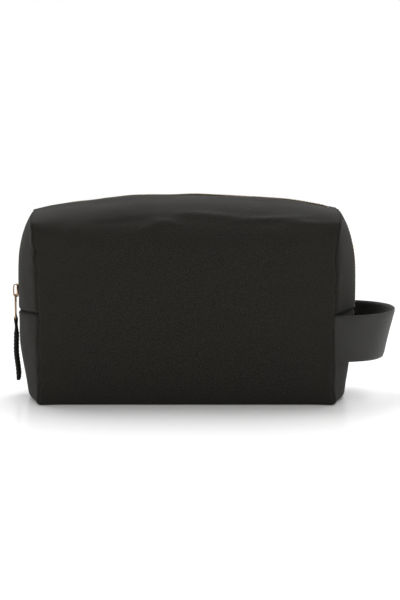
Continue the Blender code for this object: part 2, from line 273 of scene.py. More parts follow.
class Shader:
    """A Principled material with short calls for the nodes that feed it."""

    def __init__(self, name, roughness, metallic=0.0, **sockets):
        self.material = bpy.data.materials.new(name)
        self.material.use_nodes = True
        self.tree = self.material.node_tree
        self.bsdf = self.tree.nodes["Principled BSDF"]
        self.bsdf.inputs["Roughness"].default_value = roughness
        self.bsdf.inputs["Metallic"].default_value = metallic
        for socket, value in sockets.items():
            self.bsdf.inputs[socket.replace("_", " ")].default_value = value
        self.coordinate = self.tree.nodes.new("ShaderNodeTexCoord")
        self.uv = self.tree.nodes.new("ShaderNodeUVMap")
        self.uv.uv_map = "Fabric"

    def put(self, socket, value):
        if isinstance(value, bpy.types.NodeSocket):
            self.tree.links.new(value, socket)
        else:
            socket.default_value = value

    def math(self, operation, a, b=0.0):
        node = self.tree.nodes.new("ShaderNodeMath")
        node.operation = operation
        self.put(node.inputs[0], a)
        self.put(node.inputs[1], b)
        return node.outputs[0]

    def split(self, vector):
        node = self.tree.nodes.new("ShaderNodeSeparateXYZ")
        self.put(node.inputs[0], vector)
        return node.outputs[0], node.outputs[1]

    def noise(self, vector, scale, detail=2.0):
        node = self.tree.nodes.new("ShaderNodeTexNoise")
        self.put(node.inputs["Vector"], vector)
        node.inputs["Scale"].default_value = scale
        node.inputs["Detail"].default_value = detail
        return node.outputs[0]

    def ramp(self, factor, *stops):
        node = self.tree.nodes.new("ShaderNodeValToRGB")
        self.put(node.inputs[0], factor)
        elements = node.color_ramp.elements
        for element, (position, color) in zip(elements, (stops[0], stops[-1])):
            element.position, element.color = position, (*color, 1)
        for position, color in stops[1:-1]:
            elements.new(position).color = (*color, 1)
        return node.outputs[0]

    def spread(self, factor, low, high):
        """factor, from 0 to 1, as a number between low and high."""
        return self.math("ADD", self.math("MULTIPLY", factor, high - low), low)

    def bump(self, height, distance, strength=1.0):
        node = self.tree.nodes.new("ShaderNodeBump")
        node.inputs["Strength"].default_value = strength
        node.inputs["Distance"].default_value = distance
        self.put(node.inputs["Height"], height)
        self.put(self.bsdf.inputs["Normal"], node.outputs[0])

    def paint_seam_shade(self, color):
        """Painted shade: the fabric's colour is darkened where a panel turns down into its seam, where shade
        falls.
        """
        shade = self.tree.nodes.new("ShaderNodeAttribute")
        shade.attribute_name = "seam_shade"
        light = self.math("SUBTRACT", 1.0, self.math("MULTIPLY", shade.outputs["Fac"], PAINTED_SEAM_SHADE))
        dimmed = self.tree.nodes.new("ShaderNodeVectorMath")
        dimmed.operation = "SCALE"
        self.tree.links.new(color, dimmed.inputs[0])
        self.tree.links.new(light, dimmed.inputs["Scale"])
        return dimmed.outputs[0]

    def color(self, value):
        self.put(self.bsdf.inputs["Base Color"], value)

    def rough(self, value):
        self.put(self.bsdf.inputs["Roughness"], value)


def wave_of(shader, coordinate, pitch):
    """A sine of the coordinate that repeats every pitch metres."""
    return shader.math("SINE", shader.math("MULTIPLY", coordinate, 2 * PI / pitch))


def scaled(color, factor):
    return tuple(min(1.0, c * factor) for c in color)


def woven(name, color, pitch, relief, contrast, roughness=0.8, sheen=0.03):
    """Plain weave: yarns cross over and under, with uneven yarns and faint mottling."""
    s = Shader(name, roughness, Sheen_Weight=sheen, Sheen_Roughness=0.45,
               Specular_IOR_Level=0.09)
    u, v = s.split(s.uv.outputs[0])
    uneven = s.noise(s.uv.outputs[0], 190.0, 3.0)
    shift = s.math("MULTIPLY", uneven, pitch * 0.2)
    warp = wave_of(s, s.math("ADD", u, shift), pitch)
    weft = wave_of(s, s.math("ADD", v, shift), pitch)
    cross = s.math("MULTIPLY", warp, weft)
    height = s.math("ADD", s.math("MULTIPLY", cross, 0.5), 0.5)
    patches = s.noise(s.coordinate.outputs["Object"], 38.0, 3.0)
    yarns = s.noise(s.uv.outputs[0], 620.0, 2.0)
    tone = s.math("ADD", s.math("MULTIPLY", height, contrast),
                  s.math("ADD", s.math("MULTIPLY", patches, 0.12),
                         s.math("MULTIPLY", yarns, contrast * 0.8)))
    cloth = s.ramp(tone, (0.0, scaled(color, 0.55)), (0.45, color), (1.0, scaled(color, 1.9)))
    # painted shade: the cloth's colour is darkened beside the seams
    s.color(s.paint_seam_shade(cloth))
    s.rough(s.spread(height, roughness + 0.1, roughness - 0.12))
    s.bump(s.math("ADD", height, s.math("MULTIPLY", yarns, 0.4)), relief)
    return s.material


def herringbone(name, color):
    """Webbing: ribs that meet in a point half way up, and a fine cross weave."""
    s = Shader(name, 0.6, Sheen_Weight=0.08, Sheen_Roughness=0.4, Specular_IOR_Level=0.3)
    u, v = s.split(s.uv.outputs[0])
    middle = s.math("ABSOLUTE", s.math("SUBTRACT", v, WEBBING_HEIGHT / 2))
    rib = wave_of(s, s.math("ADD", u, s.math("MULTIPLY", middle, RIB_SLANT)), RIB_PITCH)
    cross = s.math("MULTIPLY", wave_of(s, v, CROSS_PITCH), wave_of(s, u, ALONG_PITCH))
    height = s.math("ADD", s.math("MULTIPLY", rib, 0.24),
                    s.math("ADD", s.math("MULTIPLY", cross, 0.16), 0.5))
    patches = s.noise(s.coordinate.outputs["Object"], 55.0, 3.0)
    tone = s.math("ADD", s.math("MULTIPLY", height, 0.75), s.math("MULTIPLY", patches, 0.2))
    s.color(s.ramp(tone, (0.15, scaled(color, 0.3)), (0.48, color), (0.85, scaled(color, 2.1))))
    s.rough(s.spread(height, 0.72, 0.5))
    s.bump(height, 0.00032)
    return s.material


def metal(name, color, roughness):
    """Antique metal: darker and brighter in random patches, finely scratched."""
    s = Shader(name, roughness, 1.0)
    coat = s.noise(s.coordinate.outputs["Object"], 420.0, 3.0)
    grain = s.noise(s.coordinate.outputs["Object"], 5200.0, 2.0)
    s.color(s.ramp(coat, (0.30, scaled(color, 0.72)), (0.5, color), (0.72, scaled(color, 1.18))))
    s.rough(s.spread(coat, roughness + 0.10, roughness - 0.06))
    s.bump(grain, 0.00004, 0.5)
    return s.material


def twisted_thread(name, color):
    """Sewing thread, lighter and darker along its twist."""
    s = Shader(name, 0.75, Sheen_Weight=0.04, Specular_IOR_Level=0.15)
    twist = s.noise(s.coordinate.outputs["Object"], 2600.0, 2.0)
    s.color(s.ramp(twist, (0.3, scaled(color, 0.6)), (0.7, scaled(color, 1.7))))
    s.bump(twist, 0.0001)
    return s.material


def pressed_board(name, color):
    """Fibre board: short mottled flecks and a faint tooth."""
    s = Shader(name, 0.85, Specular_IOR_Level=0.2)
    flecks = s.noise(s.coordinate.outputs["Object"], 900.0, 4.0)
    clouds = s.noise(s.coordinate.outputs["Object"], 60.0, 2.0)
    tone = s.math("ADD", s.math("MULTIPLY", flecks, 0.7), s.math("MULTIPLY", clouds, 0.3))
    s.color(s.ramp(tone, (0.35, scaled(color, 0.6)), (0.5, color), (0.65, scaled(color, 1.5))))
    s.rough(s.spread(flecks, 0.92, 0.75))
    s.bump(flecks, 0.0001)
    return s.material


# how far the painted seam shade darkens the colour, and how far from a seam it reaches
PAINTED_SEAM_SHADE, SEAM_SHADE_REACH = 0.82, 0.0013
WEBBING_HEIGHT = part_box("carry_loop")[1][2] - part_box("carry_loop")[0][2]
RIB_PITCH, RIB_SLANT = 0.0024, 1.0
CROSS_PITCH, ALONG_PITCH = 0.0011, 0.0014

CHARCOAL = (0.0118, 0.0112, 0.0096)
WEBBING_GREY = (0.023, 0.0225, 0.0195)
LINING_BLACK = (0.016, 0.016, 0.017)
ZIP_BROWN = (0.020, 0.016, 0.013)
BRASS = (0.52, 0.44, 0.33)
GILT = (0.36, 0.235, 0.125)
BOARD_FIBRE = (0.09, 0.085, 0.075)
THREAD_GREY = (0.0115, 0.0112, 0.0100)

OUTER = woven("outer_weave", CHARCOAL, 0.0020, 0.00024, 0.9)
TAB_WEAVE = woven("tab_weave", scaled(CHARCOAL, 1.5), 0.0011, 0.00016, 0.4)
LINING = woven("lining_weave", LINING_BLACK, 0.0007, 0.00006, 0.3, 0.5, 0.1)
TAPE = woven("zip_tape_weave", ZIP_BROWN, 0.0009, 0.00012, 0.5, 0.75, 0.15)
WEBBING = herringbone("herringbone_webbing", WEBBING_GREY)
BOARD = pressed_board("board_fibre", BOARD_FIBRE)
TEETH = metal("zip_metal", BRASS, 0.34)
HARDWARE = metal("slider_metal", GILT, 0.28)
THREAD = twisted_thread("sewing_thread", THREAD_GREY)


# -------------------- fabric panels

def edge_rows(length, radius, step):
    """Runs of fabric from a seam (0) to length: fine steps in the turn, then growing ones."""
    runs = [0.0]
    while runs[-1] < length:
        if runs[-1] > radius * 1.6:
            step = min(COARSE_STEP, step * 1.25)
        runs.append(runs[-1] + step)
    stretch = length / runs[-1]
    return [run * stretch for run in runs]


def seam_dip(run):
    """How far the fabric is drawn in beside a seam, with the swell that lies next to it."""
    return (SEAM_DEPTH * math.exp(-(run / SEAM_REACH) ** 2)
            - SEAM_SWELL * math.exp(-((run - SWELL_RUN) / SWELL_REACH) ** 2))


SEAM_DEPTH, SEAM_REACH = 0.0022, 0.0011
SEAM_SWELL, SWELL_RUN, SWELL_REACH = 0.00015, 0.0046, 0.0030
FINE_STEP, COARSE_STEP = 0.0006, 0.0026
WALL_STEP = FINE_STEP * 1.5


def folds(x, path):
    """Soft creases in the walls: outward height at a place."""
    height = 0.0
    for centre_x, centre_path, slant, length, width, rise in CREASES:
        along = (x - centre_x) * math.cos(slant) + (path - centre_path) * math.sin(slant)
        across = -(x - centre_x) * math.sin(slant) + (path - centre_path) * math.cos(slant)
        height += rise * math.exp(-(along / length) ** 2 - (across / width) ** 2)
    return height


def lip(x, side):
    """How far the folded edge beside the zip stands up: less where the teeth show from the front."""
    shown = sum(hump(x, centre, width) for centre, width in TEETH_SHOWN)
    return LIP_RISE * (1 - shown * (1.0 if side < 0 else LIP_BACK_SHARE))


LIP_RISE, LIP_BACK_SHARE = 0.0013, 0.3
LIP_RUN, LIP_HALF = 0.004, 0.004  # run of fabric from the folded edge to the lip's top
TEETH_SHOWN = ((0.008, 0.024), (0.108, 0.022))  # centre x and half length of each place

# centre x, height along the wall, slant, length, width and rise of each crease
CREASES = (
    (-0.030, 0.152, 0.42, 0.020, 0.0050, 0.0011),
    (-0.014, 0.157, -0.30, 0.015, 0.0040, 0.0009),
    (-0.052, 0.160, 0.15, 0.022, 0.0045, -0.0008),
    (0.020, 0.166, -0.08, 0.028, 0.0040, 0.0011),
    (0.066, 0.163, 0.14, 0.026, 0.0038, 0.0012),
    (0.098, 0.158, -0.20, 0.018, 0.0042, 0.0009),
    (-0.105, 0.128, 1.10, 0.022, 0.0050, 0.0008),
    (0.108, 0.120, -1.15, 0.024, 0.0050, 0.0008),
    (-0.100, 0.022, -0.80, 0.018, 0.0055, 0.0006),
    (0.101, 0.024, 0.75, 0.018, 0.0055, 0.0006),
)


def wall_skin(name, side, depth_in, look):
    """Front (-1) or back (1): one sheet from the floor up the wall and over the top to the zip."""
    outer = depth_in == 0
    reach = WALL_TOP_X - depth_in
    turn_run = EDGE_RADIUS * PI / 4
    half_run = reach - EDGE_RADIUS + turn_run
    runs = edge_rows(half_run, EDGE_RADIUS, FINE_STEP)
    columns = [(-1, run) for run in runs] + [(1, run) for run in reversed(runs[:-1])]
    wall_run = SHOULDER_Z - depth_in - FLOOR_RADIUS + FLOOR_RADIUS * PI / 4
    wall_runs = edge_rows(wall_run, FLOOR_RADIUS, WALL_STEP)
    turns = [k / ROLL_ROWS for k in range(1, ROLL_ROWS + 1)]
    points, places = [], []
    for end, run in columns:
        side_gap, turned = edge_turn(run, EDGE_RADIUS)
        u = end * max(0.0, min(1.0, 1 - (side_gap - EDGE_RADIUS) / (reach - EDGE_RADIUS)))
        column, place = [], []
        dip = seam_dip(run) if outer else 0.0
        for wall in wall_runs:
            floor_gap, floor_turned = edge_turn(wall, FLOOR_RADIUS)
            inward = depth_in + max(turned, floor_turned)
            z = depth_in + floor_gap + floor_turned
            x = end * (half_width(z) - depth_in - side_gap - turned)
            if run > turn_run:
                x = u * (half_width(z) - depth_in - EDGE_RADIUS)
            out = folds(x, z) if outer else 0.0
            column.append((x, side * (HALF_DEPTH - inward - dip + out), z))
            place.append((x, wall))
        for turn in turns:
            inward = depth_in + turned
            y = roll_y(turn, inward)
            edge_z = roll_z(1, y, inward)
            x = u * (end_x(y, edge_z, inward) - min(side_gap, EDGE_RADIUS))
            along = ROLL_LENGTH * turn
            left = (1 - turn) * ROLL_LENGTH
            slope = Vector((0, y / HALF_DEPTH, (edge_z - SHOULDER_Z) * ROLL_TILT / HALF_DEPTH)).normalized()
            z = roll_z(u, y, inward) - ZIP_TUCK * max(0.0, 1 - left / ZIP_TUCK_RUN) ** 2
            lift = -dip * (1 - min(1.0, turn * SEAM_FADE))
            if outer:
                lift += folds(x, SHOULDER_Z + along) + lip(x, side) * hump(left, LIP_RUN, LIP_HALF)
            column.append((x, side * (y + lift * slope.y), z + lift * slope.z))
            place.append((x, wall_runs[-1] + along))
        points.append(column)
        places.append(place)
    return panel(name, points, places, depth_in, look)


ROLL_ROWS = 40
ROLL_LENGTH = 0.075  # fabric from the shoulder to the folded edge
ROLL_TILT = 3  # how soon the roll faces up
SEAM_FADE = 2.5  # a corner seam is gone 1 / 2.5 of the way round the roll
ZIP_TUCK, ZIP_TUCK_RUN = 0.0016, 0.004


def shade_seams(sheet):
    """Marks how near each point of a panel is to the corner seams and the end seams, for the shade painted
    into the fabric's colour there.
    """
    is_wall = sheet.name.endswith("_sheet")
    shade = sheet.data.attributes.new("seam_shade", "FLOAT", "POINT")
    for vertex, mark in zip(sheet.data.vertices, shade.data):
        x, y, z = vertex.co
        if is_wall:
            gap = end_x(y, z, 0) - abs(x)
        else:
            gap = min(HALF_DEPTH - abs(y), roll_z(1, y, 0) - z, abs(z - SEAM_Z))
        mark.value = math.exp(-(gap / SEAM_SHADE_REACH) ** 2)


def panel(name, points, places, depth_in, look):
    """A settled sheet of fabric through the points; only the outer layer shows its seams."""
    sheet = grid_mesh(name, points, lambda i, j: places[i][j], look)
    face_outwards(sheet)
    if depth_in == 0:
        shade_seams(sheet)
    settle(sheet)
    return thicken(sheet, SHEET_THICKNESS if depth_in == 0 else LINING_THICKNESS)


SHEET_THICKNESS = 0.0011
LINING_THICKNESS = SHEET_THICKNESS * 0.6


def outline_depth(y, z, depth_in):
    """How far inside its outline a point of an end's upper half lies."""
    beside = HALF_DEPTH - depth_in - abs(y)
    if z <= SHOULDER_Z:
        return max(0.0, beside)
    low, high = 0.0, DEEPEST
    for _ in range(HALVINGS):
        middle = (low + high) / 2
        if roll_z(1, y, depth_in + middle) >= z and abs(y) < HALF_DEPTH - depth_in - middle:
            low = middle
        else:
            high = middle
    return low


DEEPEST, HALVINGS = 0.03, 24


def turned_at(distance, radius):
    """How far inside the flat face the rounded edge lies, this far from the edge's plane."""
    if distance >= radius:
        return 0.0
    return radius - math.sqrt(max(0.0, radius ** 2 - (radius - distance) ** 2))


def shares(count):
    """From 0 to 1, closer together at both ends."""
    return [0.5 - 0.5 * math.cos(PI * k / count) for k in range(count + 1)]


def upper_quarter(name, end, side, depth_in, look):
    """Half of an end above its horizontal seam, from the corner seam to the zip."""
    widest = HALF_DEPTH - depth_in - EDGE_INSET
    points, places = [], []
    for a in shares(QUARTER_STEPS):
        y = widest + (ZIP_GAP - widest) * a
        top = roll_z(1, y, depth_in + EDGE_INSET)
        column, place = [], []
        for b in shares(QUARTER_STEPS):
            z = SEAM_Z + (top - SEAM_Z) * b
            depth = max(EDGE_INSET, outline_depth(y, z, depth_in))
            inward = depth_in + turned_at(depth, EDGE_RADIUS)
            from_corner = max(0.0, HALF_DEPTH - depth_in - y - EDGE_INSET)
            dip = 0.0
            if depth_in == 0:
                lower = max(0.0, 1 - (z - SEAM_Z) / SEAM_FADE_RISE)
                dip = max(seam_dip(z - SEAM_Z), seam_dip(from_corner) * lower, key=abs)
            tuck = ZIP_TUCK * max(0.0, 1 - (y - ZIP_GAP) / ZIP_TUCK_RUN) ** 2
            x = end_x(y, z, inward) - dip - tuck
            column.append((end * x, side * y, z))
            place.append((y, z))
        points.append(column)
        places.append(place)
    return panel(name, points, places, depth_in, look)


def lower_end(name, end, depth_in, look):
    """The plain lower half of an end, from the floor to the horizontal seam."""
    widest = HALF_DEPTH - depth_in - EDGE_INSET
    low = depth_in + FLOOR_INSET
    points, places = [], []
    for a in shares(2 * QUARTER_STEPS):
        y = widest * (2 * a - 1)
        column, place = [], []
        for b in shares(QUARTER_STEPS):
            z = low + (SEAM_Z - low) * b
            beside = HALF_DEPTH - depth_in - abs(y)
            turned = max(turned_at(beside, EDGE_RADIUS), turned_at(z - depth_in, FLOOR_RADIUS))
            dip = 0.0
            if depth_in == 0:
                dip = max(seam_dip(SEAM_Z - z), seam_dip(beside - EDGE_INSET), key=abs)
            column.append((end * (end_x(y, z, depth_in + turned) - dip), y, z))
            place.append((y, z))
        points.append(column)
        places.append(place)
    return panel(name, points, places, depth_in, look)


QUARTER_STEPS = 34
SEAM_FADE_RISE = 0.09  # an end's corner seams fade out over this height


def floor_sheet(name, depth_in, look):
    """The bottom, which lies flat between rounded edges."""
    points, places = [], []
    for a in shares(FLOOR_LONG_STEPS):
        column, place = [], []
        for b in shares(FLOOR_DEEP_STEPS):
            y = (HALF_DEPTH - depth_in - FLOOR_INSET) * (2 * b - 1)
            beside = HALF_DEPTH - depth_in - abs(y)
            turned = turned_at(beside, FLOOR_RADIUS)
            reach = end_x(y, FLOOR_INSET, depth_in + turned) - FLOOR_INSET
            x = reach * (2 * a - 1)
            turned = max(turned, turned_at(reach + FLOOR_INSET - abs(x), FLOOR_RADIUS))
            column.append((x, y, depth_in + turned))
            place.append((x, y))
        points.append(column)
        places.append(place)
    return panel(name, points, places, depth_in, look)


FLOOR_LONG_STEPS, FLOOR_DEEP_STEPS = 60, 34


def bends_with(piece):
    """Bakes the piece's placement into its mesh."""
    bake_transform(piece)


SIDES = (("front", -1), ("back", 1))
ENDS = (("left", -1), ("right", 1))


def build_fabric():
    for prefix, cad, depth_in, look, slot in (
            ("outer_", "", 0.0, OUTER, "outer_fabric"),
            ("inner_", "lining_", LINING_DEPTH, LINING, "lining")):
        floor = floor_sheet(prefix + "floor", depth_in, look)
        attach(floor, "base")
        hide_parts(cad + "bottom_panel")
        for word, side in SIDES:
            skin = wall_skin(f"{prefix}{word}_sheet", side, depth_in, look)
            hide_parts(f"{cad}{word}_lower", f"{cad}{word}_upper")
            bends_with(skin)
        for end_word, end in ENDS:
            lower = lower_end(f"{prefix}{end_word}_end_low", end, depth_in, look)
            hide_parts(f"{cad}{end_word}_end_lower")
            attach(lower, "base")
            for word, side in SIDES:
                quarter = upper_quarter(f"{prefix}{end_word}_end_{word}_half", end, side, depth_in, look)
                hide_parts(f"{cad}{end_word}_end_{word}")
                bends_with(quarter)


build_fabric()


# -------------------- zip

def zip_line(start_z):
    """Points (x, z) of the zip from start_z on the left end over the top to the right end."""
    top_x = end_x(0, CROWN_END_Z, 0)
    rise = [(-end_x(0, z, 0), z) for z in np.linspace(start_z, SHOULDER_Z, 30)]
    foot, corner = rise[-1], (-top_x, CROWN_END_Z)
    first_u = 1 - ZIP_CORNER / top_x
    stop = (-first_u * top_x, crown(first_u))
    for t in np.linspace(0, 1, 12)[1:-1]:
        rise.append(tuple((1 - t) ** 2 * foot[i] + 2 * t * (1 - t) * corner[i] + t * t * stop[i]
                          for i in range(2)))
    rise += [(-first_u * top_x * (1 - t), crown(first_u * (1 - t))) for t in np.linspace(0, 1, 50)]
    rise += [(-x, z) for x, z in reversed(rise[:-1])]
    return np.array(rise)


ZIP_START_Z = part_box("zip_teeth_front")[0][2]
ZIP_CORNER = 0.012  # how far from the ends of the ridge the zip turns down
TAPE_HALF, TAPE_INNER, TAPE_THICKNESS = 0.0105, 0.0016, 0.0004
TOOTH_PITCH, TOOTH_LENGTH = 0.0026, 0.00122 * 1.02
TOOTH_REACH, TOOTH_ROOT = -0.0006, 0.0031  # from the zip's middle: a tooth's nose and its root
TOOTH_HALF = 0.00105
STEP_ALONG = 0.0013
LOOK_ALONG = 0.002  # the zip's direction is taken this far each way
TEETH_LIFT = -0.0004
TAPE_BELOW = 0.0040  # the tape ends tucked in below the end seams

# how far from the zip's middle, and how far above its line
TAPE_PROFILE = ((TAPE_HALF, -0.0024), (0.0075, -0.0020), (0.0050, -0.0014), (0.0036, -0.0010),
                (0.0030, -0.0008), (0.0022, -0.0006), (TAPE_INNER, -0.0008))


def along_zip(step, start_z=None):
    """(point, normal, direction) every step metres along the zip."""
    line = zip_line(start_z or ZIP_START_Z)
    gaps = np.linalg.norm(np.diff(line, axis=0), axis=1)
    run = np.concatenate(([0], np.cumsum(gaps)))
    out = []
    for place in np.arange(0, run[-1], step):
        point = [np.interp(place, run, line[:, k]) for k in range(2)]
        ahead = [np.interp(min(place + LOOK_ALONG, run[-1]), run, line[:, k]) for k in range(2)]
        back = [np.interp(max(place - LOOK_ALONG, 0), run, line[:, k]) for k in range(2)]
        way = Vector((ahead[0] - back[0], 0, ahead[1] - back[1])).normalized()
        out.append((Vector((point[0], 0, point[1])), Vector((-way.z, 0, way.x)), way))
    return out


def zip_tape(word, side):
    """Half of the tape: from under the panel's folded edge to the cord that the teeth grip."""
    points = [[centre + normal * h + Vector((0, side * y, 0)) for y, h in TAPE_PROFILE]
              for centre, normal, _ in along_zip(STEP_ALONG, SEAM_Z - TAPE_BELOW)]
    tape = grid_mesh(f"tape_{word}", points,
                     lambda i, j: (i * STEP_ALONG, TAPE_PROFILE[j][0]), TAPE)
    face_outwards(tape)
    settle(tape)
    thicken(tape, TAPE_THICKNESS)
    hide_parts(f"zip_tape_{word}")
    bends_with(tape)


def add_tooth(bm, centre, normal, way, side):
    """One metal tooth: a round nose, a neck and legs that clamp the tape's cord."""
    across = Vector((0, side, 0))
    outline = [(TOOTH_ROOT, 0.36), (TOOTH_ROOT - 0.0003, 0.5), (0.0014, 0.5), (0.0009, 0.36),
               (0.0004, 0.5), (TOOTH_REACH + 0.0003, 0.46), (TOOTH_REACH, 0.22)]
    outline += [(y, -w) for y, w in reversed(outline)]
    layers = ((-TOOTH_HALF, 0.82), (-TOOTH_HALF * 0.6, 1.0),
              (TOOTH_HALF * 0.6, 1.0), (TOOTH_HALF, 0.82))
    middle = (TOOTH_ROOT + TOOTH_REACH) / 2
    rings = []
    for height, size in layers:
        rings.append([bm.verts.new(centre + normal * height + way * (w * TOOTH_LENGTH * size)
                                   + across * (middle + (y - middle) * (1 - (1 - size) * 0.6)))
                      for y, w in outline])
    count = len(outline)
    for low, high in zip(rings, rings[1:]):
        for k in range(count):
            m = (k + 1) % count
            bm.faces.new((low[k], low[m], high[m], high[k]))
    bm.faces.new(rings[0])
    bm.faces.new(rings[-1])


def zip_teeth(word, side):
    """One row of teeth; the back row sits half a pitch further on, between the front ones."""
    bm = bmesh.new()
    stations = along_zip(TOOTH_PITCH / 2)
    first = 0 if side < 0 else 1
    for centre, normal, way in stations[first::2]:
        add_tooth(bm, centre + normal * TEETH_LIFT, normal, way, side)
    bmesh.ops.recalc_face_normals(bm, faces=bm.faces)
    teeth = new_object(f"teeth_{word}", bm, TEETH)
    settle(teeth)
    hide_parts(f"zip_teeth_{word}")
    bends_with(teeth)


for side_word, side_sign in SIDES:
    zip_tape(side_word, side_sign)
    zip_teeth(side_word, side_sign)


# -------------------- carry loop

LOOP_LOW, LOOP_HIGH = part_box("carry_loop")
LOOP_ROOT_X = half_width(SEAM_Z - 0.02) - 0.0012  # just inside the corner seams
LOOP_INSET = 0.0016  # from the walls' faces to the middle of the webbing
LOOP_SHORTER = 0.0090  # how much less the low edge stands out than the top
LOOP_POWER = 2.3  # 2 is a round loop, more is squarer
LOOP_THICK = 0.0017
LOOP_SWAY, LOOP_CUP, LOOP_BACK_RISE = 0.0009, 0.0008, 0.0022
SELVEDGE, SELVEDGE_SHARE = 0.0012, 0.12  # run of the thinner edges, and the least they keep


def loop_outline(angle, share):
    """Plan of the loop's middle line at an angle round it; share runs from its low edge to its top."""
    reach = LOOP_HIGH[0] - LOOP_THICK / 2 - LOOP_ROOT_X - LOOP_SHORTER * (1 - share)
    span = HALF_DEPTH - LOOP_INSET
    power = 2 / LOOP_POWER
    across = -squarer(math.cos(angle), power)
    sway = LOOP_SWAY * math.sin(angle * 3 + share * 2.0)
    return Vector((LOOP_ROOT_X + reach * max(0.0, math.sin(angle)) ** power + sway * math.sin(angle),
                   span * across, 0))


def build_loop():
    """The webbing is a closed flat tube round its plan, with thin rounded selvedges."""
    around, up = 150, 14
    section = [(k / up, 1) for k in range(up + 1)] + [(k / up, -1) for k in range(up, -1, -1)]
    points, runs = [], [0.0]
    previous = None
    for i in range(around + 1):
        angle = PI * i / around
        column = []
        for share, face in section:
            here = loop_outline(angle, share)
            ahead = loop_outline(min(PI, angle + 0.01), share)
            back = loop_outline(max(0.0, angle - 0.01), share)
            way = (ahead - back).normalized()
            normal = Vector((way.y, -way.x, 0))
            edge = min(share, 1 - share) * WEBBING_HEIGHT
            thick = LOOP_THICK / 2 * math.sqrt(min(1.0, edge / SELVEDGE + SELVEDGE_SHARE))
            rise = LOOP_CUP * math.sin(angle) * (share - 0.5) + LOOP_BACK_RISE * (1 - math.cos(angle)) / 2
            z = LOOP_LOW[2] + WEBBING_HEIGHT * share + rise
            column.append(here + normal * (face * thick) + Vector((0, 0, z)))
        middle = column[up // 2]
        if previous is not None:
            runs.append(runs[-1] + (middle - previous).length)
        previous = middle
        points.append(column)
    heights = [share * WEBBING_HEIGHT for share, _ in section] + [0.0]
    loop = grid_mesh("webbing_loop", points, lambda i, j: (runs[i], heights[j]), WEBBING, True)
    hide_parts("carry_loop")
    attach(loop, "base")


build_loop()


# -------------------- pull tab

def build_tab():
    """Folded fabric: two plies stitched at the edges, looped at the top, waved towards the bag."""
    low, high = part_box("pull_tab")
    half_w = (high[1] - low[1]) / 2
    top_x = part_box("puller")[0][0] + TAB_IN_PULLER
    top_z = high[2] + TAB_RISE
    points = []
    for i in range(TAB_ROWS + 1):
        share = i / TAB_ROWS
        z = top_z - (top_z - low[2]) * share
        lean = TAB_LEAN * share ** 1.3
        wave = TAB_WAVE * math.sin(share * 9.0) * share
        thick = TAB_HALF_THICK * (1 - 0.45 * hump(share, 0.16, 0.07)) * min(1.0, 0.35 + share * 12)
        thick *= 1.0 if share < 0.97 else 0.8
        wide = half_w * (0.62 + 0.38 * min(1.0, max(0.0, (share - 0.07) / 0.08)))
        column = []
        for k in range(TAB_AROUND):
            angle = 2 * PI * k / TAB_AROUND
            across = squarer(math.cos(angle), 0.35)
            out = squarer(math.sin(angle), 0.55)
            column.append((top_x + lean + wave - thick * out, wide * across, z))
        points.append(column)
    tab = grid_mesh("fabric_tab", points, lambda i, j: (points[i][0][2], j * 0.0015), TAB_WEAVE, True)
    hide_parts("pull_tab")
    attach(tab, "pull_tab")


TAB_ROWS, TAB_AROUND = 60, 14
TAB_IN_PULLER, TAB_RISE = 0.0005, 0.0034  # how far its loop reaches into the puller's window
TAB_LEAN, TAB_WAVE, TAB_HALF_THICK = 0.0014, 0.0009, 0.0018

build_tab()


# -------------------- slider and puller

def softened(piece, width):
    """Rounds the piece's edges and shades it smooth."""
    bevel = piece.modifiers.new("rounded", "BEVEL")
    bevel.width = width
    bevel.segments = 3
    bevel.limit_method = "ANGLE"
    bevel.angle_limit = math.radians(35)
    apply_modifiers(piece)
    piece.data.shade_smooth()
    piece.data.set_sharp_from_angle(angle=math.radians(50))
    return piece


def plate(bm, outline, low_x, high_x):
    """A plate between two x places, with its outline as (y, z) points."""
    face = bm.faces.new([bm.verts.new((low_x, y, z)) for y, z in outline])
    moved = bmesh.ops.extrude_face_region(bm, geom=[face])
    bmesh.ops.translate(bm, vec=(high_x - low_x, 0, 0),
                        verts=[g for g in moved["geom"] if isinstance(g, bmesh.types.BMVert)])


def slider_outline(centre_z, half_length, wide, narrow):
    """A shield: wide shoulders above, a narrower round foot below."""
    right = []
    for k in range(17):
        angle = PI * k / 16
        height = math.cos(angle)
        width = narrow + (wide - narrow) * (0.5 + 0.5 * height)
        right.append((width * math.sin(angle) ** 0.45, centre_z + half_length * height))
    return right + [(-y, z) for y, z in reversed(right[1:-1])]


def build_slider():
    """Two shield plates, joined by flanges at the sides and a post between the rows of teeth."""
    low, high = map(Vector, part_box("slider_body"))
    centre_z, half = (low.z + high.z) / 2, (high.z - low.z) / 2
    wide, narrow = high.y, high.y * FOOT_SHARE
    bm = bmesh.new()
    outline = slider_outline(centre_z, half, wide, narrow)
    plate(bm, outline, low.x, low.x + PLATE)
    plate(bm, outline, high.x - PLATE, high.x)
    flange_low, flange_high = centre_z - half * 0.72, centre_z + half * 0.3
    flange = wide * FLANGE_SHARE * 0.97
    inside = flange - PLATE * 0.8
    for side in (-1, 1):
        plate(bm, [(side * flange, flange_low), (side * flange, flange_high),
                   (side * inside, flange_high), (side * inside, flange_low)],
              low.x + PLATE * 0.5, low.x + PLATE * 1.7)
    post_low, post_high = centre_z + half * 0.35, centre_z + half * 0.85
    plate(bm, [(-POST_HALF, post_low), (POST_HALF, post_low),
               (POST_HALF, post_high), (-POST_HALF, post_high)],
          low.x + PLATE * 0.5, high.x - PLATE * 0.5)
    bmesh.ops.recalc_face_normals(bm, faces=bm.faces)
    slider = softened(new_object("zip_slider", bm, HARDWARE), 0.00028)
    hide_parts("slider_body")
    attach(slider, "slider")


PLATE, POST_HALF = 0.0009, 0.0005
FOOT_SHARE, FLANGE_SHARE = 0.72, 0.86  # parts of the shoulders' width


